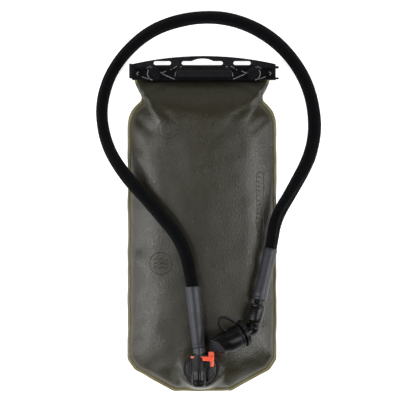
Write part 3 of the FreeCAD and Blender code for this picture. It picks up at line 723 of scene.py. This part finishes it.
def weld_rim():
    """The welded edge: a thin band with a pressed line inside it."""
    profile = [(0.0, -0.45), (-0.008, 0.0), (0.0, 0.45), (0.014, 0.62), (0.034, 0.62), (0.052, 0.5),
               (0.062, 0.25), (0.070, 0.5), (0.090, 0.55), (0.100, 0.1), (0.100, -0.1), (0.090, -0.55),
               (0.070, -0.5), (0.052, -0.5), (0.034, -0.62), (0.014, -0.62)]
    rows = []
    for share, lift in profile:
        line = edge_line + (crown_line - edge_line) * share
        thick = lift * (1 - 0.35 * mouth_share)
        rows.append(np.column_stack([line, SEAM + rim_wave + thick]))
    verts = np.vstack(rows) * MM
    faces = grid_faces(len(profile), len(edge_line), close_rows=True)
    rim = new_piece("weld_rim", verts, faces, WELD, "reservoir")
    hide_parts("perimeter_weld")


bag = film_bag()
weld_rim()


# ================================================================ marks pressed into the film
MARK_LIFT, MARK_RADIUS, MARK_SIDES = -0.05, 0.5, 6
DROP_SPOT, WAVE_SPOT = (-42.4, 113.0), (-51.0, -48.0)
# The scale's middle line, the centres of its round ends, and half its width.
SCALE_X, SCALE_TOP, SCALE_FOOT, SCALE_HALF_WIDTH = 68.5, 58.0, -12.0, 4.2
SCALE_TICKS, TICK_STEP, TICK_LENGTH, LONG_TICK = 13, 5.5, 3.2, 4.8
film_tree = BVHTree.FromPolygons([v.co for v in bag.data.vertices],
                                 [tuple(p.vertices) for p in bag.data.polygons])


def on_film(x, y, lift=0.0):
    """The place on the front film over (x, y) in millimetres."""
    hit = film_tree.ray_cast(Vector((x * MM, y * MM, 0.2)), Vector((0, 0, -1)))[0]
    return hit + Vector((0, 0, lift * MM))


def drop_points(x, y, tall):
    """The outline of a water drop: a round foot drawn up to a point."""
    points = []
    for k in range(41):
        angle = TURN * k / 40 - math.pi / 2
        wide = 0.30 * tall * math.cos(angle) * (1 - 0.55 * max(0.0, math.sin(angle)))
        points.append((x + wide, y + 0.5 * tall * math.sin(angle)))
    return points


def drop_mark(x, y):
    """A ring round the outline of a drop."""
    return [arc_points(x, y, 11.5), drop_points(x, y + 0.5, 13.5)]


def wave_mark(x, y):
    """A ring round three wavy lines."""
    lines = [arc_points(x, y, 13.5)]
    for row in (-4.5, 0.0, 4.5):
        steps = np.linspace(-8.5, 8.5, 24)
        lines.append([(x + step, y + row + 1.2 * math.sin(step * 0.8)) for step in steps])
    return lines


def scale_mark():
    """A long window with round ends, and ticks down it, of which every third is longer."""
    window = arc_points(SCALE_X, SCALE_TOP, SCALE_HALF_WIDTH, 0, 180, 12)
    window += arc_points(SCALE_X, SCALE_FOOT, SCALE_HALF_WIDTH, 180, 360, 12)
    lines = [between(window + window[:1])]
    for step in range(SCALE_TICKS):
        left, y = SCALE_X - SCALE_HALF_WIDTH, SCALE_TOP - 2.0 - TICK_STEP * step
        length = TICK_LENGTH if step % 3 else LONG_TICK
        lines.append(between([(left, y), (left + length, y)]))
    return lines


def pressed_marks():
    """All the marks: thin rounded lines that lie half in the front film."""
    lines = drop_mark(*DROP_SPOT) + wave_mark(*WAVE_SPOT) + scale_mark()
    paths = [[on_film(x, y, MARK_LIFT) for x, y in line] for line in lines]
    verts, faces = joined_tubes(paths, MARK_RADIUS * MM, MARK_SIDES)
    marks = new_piece("pressed_marks", verts, faces, FILM, "reservoir")
    shade = marks.data.attributes.new("rim", "FLOAT", "POINT")
    shade.data.foreach_set("value", [0.0] * len(verts))


pressed_marks()

# ================================================================ slide closure
BAR_TOP, HANGER_TOP, BAR_MIDDLE = 29.2, 26.4, 0.9
# The face steps down from the bar to the hanger between these places.
HANGER_STEP = (185.2, 187.2)
RIDGE_LIFT, RIDGE_RADIUS, RIDGE_SIDES = 0.1, 0.52, 8
BOSS_SPOT = (-59.4, 181.0)
# Each ridge's points from the bar's middle, for its left half; the right half mirrors them.
CLOSURE_RIDGES = [
    [(-59.1, 188.0), (-54.1, 184.6), (-50.9, 181.3), (-48.5, 182.6), (-45.6, 183.9)],
    [(-49.4, 180.2), (-35.4, 174.0)],
    [(-40.2, 185.3), (-32.6, 190.0)],
    [(-26.9, 190.0), (-31.9, 185.0), (-34.4, 181.3), (-34.6, 177.5)],
    [(-69.4, 187.3), (-64.4, 190.0)],
    arc_points(*BOSS_SPOT, 8.5, 108, 252, 16),
    [(-78.6, 183.0), (-81.2, 181.0), (-79.2, 179.0)],
    [(-74.4, 177.1), (-66.4, 174.1)],
]


def closure_top(y):
    """Level of the closure's face."""
    return BAR_TOP + (HANGER_TOP - BAR_TOP) * float(smoothstep(*HANGER_STEP, y))


def closure_ridges():
    """Raised lines on the closure's face, in a light grey that paints their glints."""
    paths = []
    for ridge in CLOSURE_RIDGES:
        for side in (1, -1):
            line = between([(BAR_MIDDLE + side * x, y) for x, y in ridge], 0.7)
            paths.append([Vector((x, y, closure_top(y) + RIDGE_LIFT)) * MM for x, y in line])
    verts, faces = joined_tubes(paths, RIDGE_RADIUS * MM, RIDGE_SIDES)
    new_piece("closure_ridges", verts, faces, RIDGE_GLINT, "closure")


closure_ridges()

# ================================================================ cuffs, swivel and elbow
LOWER_START = Vector((-5.2, -148.0, 58.2)) * MM
LOWER_AXIS = (Vector((-13.4, -66.0, 58.2)) * MM - LOWER_START).normalized()
UPPER_START = Vector((81.5, -27.0, 50.0)) * MM
UPPER_AXIS = (Vector((67.2, -89.5, 57.4)) * MM - UPPER_START).normalized()
# The knuckle is where the hose's axis and the valve's meet; the valve is measured from just behind it.
KNUCKLE = UPPER_START + UPPER_AXIS * 102.0 * MM
MOUTH_BACK = 3.0
VALVE_TILT, VALVE_HEADING = math.radians(20.0), math.radians(205.4)
VALVE_AXIS = Vector((math.cos(VALVE_TILT) * math.cos(VALVE_HEADING),
                     math.cos(VALVE_TILT) * math.sin(VALVE_HEADING), math.sin(VALVE_TILT)))

lower_frame = shortest_frame(LOWER_START, LOWER_AXIS)
upper_frame = shortest_frame(UPPER_START, UPPER_AXIS)
mouth_frame = shortest_frame(KNUCKLE - VALVE_AXIS * MOUTH_BACK * MM, VALVE_AXIS)

# Profiles are (radius, height along the axis).
LOWER_CUFF = [
    (4.95, 0.5), (7.2, 0.5), (7.6, 0.9), (7.7, 2.4), (7.4, 3.2), (7.4, 4.2), (7.8, 5.0), (7.9, 8.0),
    (8.1, 15.0), (8.35, 26.0), (8.65, 38.0), (8.9, 50.0), (9.1, 60.0), (9.25, 67.0), (9.3, 72.0),
    (9.25, 73.4), (9.0, 74.0), (7.85, 74.0), (7.7, 73.4), (7.65, 60.2), (4.95, 60.0),
]
UPPER_CUFF = [
    (7.6, 3.3), (7.9, 3.1), (8.15, 3.6), (8.2, 6.0), (8.1, 12.0), (8.05, 20.0), (7.85, 26.0), (7.8, 34.0),
    (8.0, 44.0), (8.25, 52.0), (8.45, 57.0), (8.5, 60.5), (8.25, 61.6), (8.3, 62.4), (8.5, 63.4),
    (8.45, 65.4), (8.1, 65.9), (6.0, 65.9), (5.85, 62.5), (4.95, 62.0), (4.95, 20.5), (7.55, 20.0),
]
SWIVEL_SHELL = [
    (4.75, 71.7), (7.9, 71.7), (8.8, 72.1), (9.15, 72.8), (9.15, 73.9), (8.85, 74.4), (9.05, 75.2),
    (9.2, 79.0), (9.05, 84.0), (8.75, 88.5), (8.45, 91.3), (8.0, 92.7), (7.3, 93.45), (3.3, 93.45),
    (3.3, 88.8), (4.75, 88.6),
]


def closed_lathe(name, profile, matrix, material, body, replaced, steps=72, ripple_of=None):
    """A turned piece whose profile is a closed loop, in place of one of the frame's."""
    piece = lathe(name, profile + profile[:1], matrix, material, body, steps, ripple_of)
    even_normals(piece, merge=1e-6)
    piece.data.polygons.foreach_set("use_smooth", [True] * len(piece.data.polygons))
    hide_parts(replaced)
    return piece


def cuff_waves(seed, amount):
    """Slight unevenness of a soft cuff's radius."""
    def wave(angle, height):
        return amount * float(ripple(height, 6 * angle, 14.0, seed, 4))
    return wave


lower_cuff_piece = closed_lathe("lower_cuff_moulding", LOWER_CUFF, lower_frame, CUFF, "hose",
                                "lower_cuff", ripple_of=cuff_waves(31, 0.035))
upper_cuff_piece = closed_lathe("upper_cuff_moulding", UPPER_CUFF, upper_frame, CUFF, "hose",
                                "upper_cuff", ripple_of=cuff_waves(32, 0.06))
closed_lathe("swivel_shell", SWIVEL_SHELL, upper_frame, GLOSS, "valve", "swivel_sleeve")

# How far the elbow reaches from the knuckle along both axes, and its corner out from between them.
ELBOW_BACK, ELBOW_AHEAD, ELBOW_CORNER = 8.4, 8.9, 1.4
ELBOW_RADIUS, ELBOW_BULGE, ELBOW_RING = 7.3, 1.7, 0.4
ELBOW_STEPS, ELBOW_SIDES = 28, 56


def bent_elbow():
    """The glossy elbow: a full bend from the swivel to the valve, fattest at the corner."""
    start = KNUCKLE - UPPER_AXIS * ELBOW_BACK * MM
    finish = KNUCKLE + VALVE_AXIS * ELBOW_AHEAD * MM
    corner = KNUCKLE + (UPPER_AXIS - VALVE_AXIS).normalized() * ELBOW_CORNER * MM
    line = []
    for k in range(ELBOW_STEPS + 1):
        t = k / ELBOW_STEPS
        line.append(start * (1 - t) ** 2 + corner * 2 * t * (1 - t) + finish * t ** 2)

    def reach(i):
        t = i / ELBOW_STEPS
        bulge = ELBOW_BULGE * math.exp(-((t - 0.42) / 0.22) ** 2)
        ring = ELBOW_RING * math.exp(-((t - 0.93) / 0.03) ** 2)
        return (ELBOW_RADIUS + bulge + ring) * MM

    verts, faces, _ = tube_mesh(line, reach, ELBOW_SIDES)
    elbow = new_piece("elbow_shell", verts, faces, GLOSS, "valve")
    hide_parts("valve_elbow")


bent_elbow()

# ================================================================ dust cover and tether
# The side to which the cover's end is cut back: across the valve, and a little upwards.
COVER_ACROSS = Vector((-math.sin(VALVE_HEADING), math.cos(VALVE_HEADING), 0.0))
COVER_SLANT = (COVER_ACROSS + 0.5 * VALVE_AXIS.cross(COVER_ACROSS)).normalized()
# How steep the cut is, where across the cover it starts, and over what heights it comes in.
SLANT_RATE, SLANT_REACH, SLANT_SPAN = 0.45, 12.0, (34.0, 57.0)
# The tinted end is above the height and within the radius.
TINT_HEIGHT, TINT_RADIUS = 57.7, 8.05
DUST_COVER = [
    (13.1, 20.7), (13.9, 20.6), (14.35, 20.9), (14.5, 21.4), (14.5, 22.8), (14.2, 23.3), (13.8, 23.4),
    (13.75, 24.1), (14.2, 24.4), (14.4, 25.1), (14.5, 29.0), (14.4, 33.0), (14.2, 38.0), (13.75, 43.0),
    (13.1, 48.0), (12.3, 52.0), (11.5, 55.0), (10.9, 57.0), (10.5, 57.9), (10.0, 58.3), (9.4, 58.2),
    (9.2, 57.9), (8.1, 57.8), (8.0, 57.8), (3.0, 57.8), (0.05, 57.8), (0.05, 57.0), (7.2, 56.9),
    (8.3, 54.5), (12.4, 30.0),
]
# Places on the tether, with the third number along the valve's axis.
TETHER_ROUTE = [(0, 13.9, 36.0), (0, 20.5, 41.5), (0, 28.5, 44.0), (0, 34.0, 39.0), (0, 30.0, 29.0),
                (0, 16.2, 20.9)]
TETHER_RADIUS = 1.65


def on_valve(place):
    """Where a place given along the valve's axis is in the scene."""
    return mouth_frame @ (Vector(place) * MM)


def dust_cover_piece():
    """The pull-off cover: a ribbed mouth, a body that narrows, and a tinted end cut at a slant."""
    piece = closed_lathe("dust_cover_shell", DUST_COVER, mouth_frame, COVER, "cover",
                         "dust_cover", 96)
    piece.data.materials.append(TEAL)
    inverse = mouth_frame.inverted()
    spots = [(inverse @ vertex.co) / MM for vertex in piece.data.vertices]
    tinted = [spot.z > TINT_HEIGHT and math.hypot(spot.x, spot.y) < TINT_RADIUS for spot in spots]
    for polygon in piece.data.polygons:
        if all(tinted[v] for v in polygon.vertices):
            polygon.material_index = 1
    slant = inverse.to_3x3() @ COVER_SLANT
    for vertex, spot in zip(piece.data.vertices, spots):
        share = float(smoothstep(*SLANT_SPAN, spot.z))
        spot.z -= SLANT_RATE * (spot.dot(slant) + SLANT_REACH) * share
        vertex.co = on_valve(spot)


def tether():
    """The loop that holds the cover to the valve."""
    line = spline_points("tether_line", [on_valve(place) for place in TETHER_ROUTE], 12)
    verts, faces, _ = tube_mesh(line, TETHER_RADIUS * MM, 14)
    strap = new_piece("tether_band", verts, faces, TETHER, None)
    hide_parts("cover_tether")
    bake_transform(strap)


dust_cover_piece()
tether()

# ================================================================ port
BARREL_X, BARREL_END, BARREL_LEVEL = -5.2, -195.3, 58.2
PORT_NOSE = [
    (0.05, 0.0), (2.5, 0.1), (4.6, 0.5), (6.3, 1.4), (7.6, 2.9), (8.5, 5.0), (8.95, 7.6), (8.98, 11.0),
    (8.98, 15.0), (8.95, 18.4), (8.75, 19.2), (8.72, 19.8),
]
FLUTE_COUNT, FLUTE_DEPTH, FLUTE_START, FLUTE_FADE = 9, 0.28, 2.0, 4.0
CAP_TOP, CAP_REACH, CAP_EDGE = 54.1, 16.6, 17.4
FIRST_RIB, RIB_STEP, RIB_COUNT = 9.3, 1.7, 5
# The ribs on the latch's side end here, short of it, and a rib that would be too short is left out.
RIB_END, SHORTEST_RIB, RIB_RADIUS = 2.4, 2.0, 0.5
# The lip's place along the barrel, its bow seen from above, the barrel's radius there and its own.
LIP_Y, LIP_BOW, LIP_BARREL, LIP_RADIUS = -166.0, 8.0, 8.75, 0.55


def flutes(angle, height):
    """Shallow grooves along the nose, which fade out towards its tip."""
    if height < FLUTE_START:
        return 0.0
    fade = min(1.0, (height - FLUTE_START) / FLUTE_FADE)
    return -FLUTE_DEPTH * max(0.0, math.cos(FLUTE_COUNT * angle)) ** 6 * fade


def port_nose():
    """The fluted shell over the barrel's round end."""
    matrix = shortest_frame(Vector((BARREL_X, BARREL_END, BARREL_LEVEL)) * MM, Vector((0, 1, 0)))
    lathe("port_nose_shell", PORT_NOSE, matrix, PORT, "reservoir", 108, flutes)


def port_ribs():
    """Rounded ribs across the port's cap on both sides of the barrel, and the cap's rolled edge, in a
    lighter plastic that paints their glints.
    """
    lines = []
    for side in (-1, 1):
        for step in range(RIB_COUNT):
            x = side * (FIRST_RIB + RIB_STEP * step)
            half = math.sqrt(max(0.0, CAP_REACH ** 2 - x ** 2))
            high = half if side < 0 else min(half, RIB_END)
            if high + half > SHORTEST_RIB:
                lines.append([(PORT_SPOT[0] + x, PORT_SPOT[1] + y) for y in np.linspace(-half, high, 12)])
    lines.append(arc_points(*PORT_SPOT, CAP_EDGE, -232, 52, 90))
    paths = [[Vector((x, y, CAP_TOP)) * MM for x, y in line] for line in lines]
    verts, faces = joined_tubes(paths, RIB_RADIUS * MM, 8)
    new_piece("port_ribs", verts, faces, RIB_GLINT, "reservoir")


def hub_lip():
    """A raised half round lip on the barrel, where the turning hub sits on it."""
    line = []
    for x, y in arc_points(BARREL_X, LIP_Y, LIP_BOW, 188, 352):
        lift = math.sqrt(LIP_BARREL ** 2 - (x - BARREL_X) ** 2)
        line.append(Vector((x, y, BARREL_LEVEL + lift)) * MM)
    verts, faces, _ = tube_mesh(line, LIP_RADIUS * MM, 8)
    new_piece("port_hub_lip", verts, faces, PORT, "reservoir")


port_nose()
port_ribs()
hub_lip()

# ================================================================ camera, floor and light
VIEW_WIDE = 483.2 * MM
VIEW_CENTRE = (-3.74 * MM, 28.4 * MM)
LENS, SENSOR = 200.0, 36.0
FLOOR_REACH = 6.0
# Each light's name, place, target, two sides and power.
LIGHTS = [
    ("left_box", (-1.25, -0.15, 1.45), (0, 0, 0), 0.6, 1.7, 19),
    ("right_box", (1.3, -0.15, 1.4), (0, 0, 0), 0.7, 1.7, 21),
    ("left_strip", (-1.3, -0.05, 0.42), (0, 0, 0.03), 0.3, 1.7, 5),
    ("right_strip", (1.3, -0.05, 0.42), (0, 0, 0.03), 0.3, 1.7, 4),
    ("head_strip", (0.0, 1.4, 0.95), (0, 0.1, 0.03), 1.1, 0.35, 2),
    ("foot_strip", (-1.05, -1.05, 0.95), (0, -0.15, 0.03), 0.9, 0.4, 6),
]


def camera():
    """Straight down on the middle of the view, from far enough off to take in its width."""
    data = bpy.data.cameras.new("camera")
    data.lens = LENS
    data.sensor_width = SENSOR
    data.clip_end = 20
    item = bpy.data.objects.new("camera", data)
    bpy.context.scene.collection.objects.link(item)
    distance = VIEW_WIDE * LENS / SENSOR
    item.location = (*VIEW_CENTRE, SEAM * MM + distance)
    bpy.context.scene.camera = item


def floor():
    """A large white sheet under the part."""
    mesh = bpy.data.meshes.new("floor")
    corners = [(-1, -1), (1, -1), (1, 1), (-1, 1)]
    mesh.from_pydata([(FLOOR_REACH * x, FLOOR_REACH * y, 0) for x, y in corners], [], [(0, 1, 2, 3)])
    item = bpy.data.objects.new("floor", mesh)
    bpy.context.scene.collection.objects.link(item)
    look = Look("floor", (0.93, 0.93, 0.93), 0.9, Emission_Color=(1, 1, 1, 1), Emission_Strength=0.85,
                Specular_IOR_Level=0.1)
    look.colour(look.mix(look.noise(3, 2, 0.5), (0.92, 0.92, 0.92), (0.94, 0.94, 0.94)))
    mesh.materials.append(look.material)


def softbox(name, place, target, size_x, size_y, power):
    """A rectangular light turned to its target."""
    data = bpy.data.lights.new(name, "AREA")
    data.shape = "RECTANGLE"
    data.size, data.size_y = size_x, size_y
    data.energy = power
    item = bpy.data.objects.new(name, data)
    bpy.context.scene.collection.objects.link(item)
    item.location = place
    item.rotation_euler = (Vector(target) - Vector(place)).to_track_quat("-Z", "Y").to_euler()


def studio():
    """A faint white surround and the lights."""
    world = bpy.data.worlds.new("studio")
    bpy.context.scene.world = world
    world.use_nodes = True
    world.node_tree.nodes["Background"].inputs["Color"].default_value = (1, 1, 1, 1)
    world.node_tree.nodes["Background"].inputs["Strength"].default_value = 0.05
    for light in LIGHTS:
        softbox(*light)
    bpy.context.scene.view_settings.view_transform = "Standard"


camera()
floor()
studio()
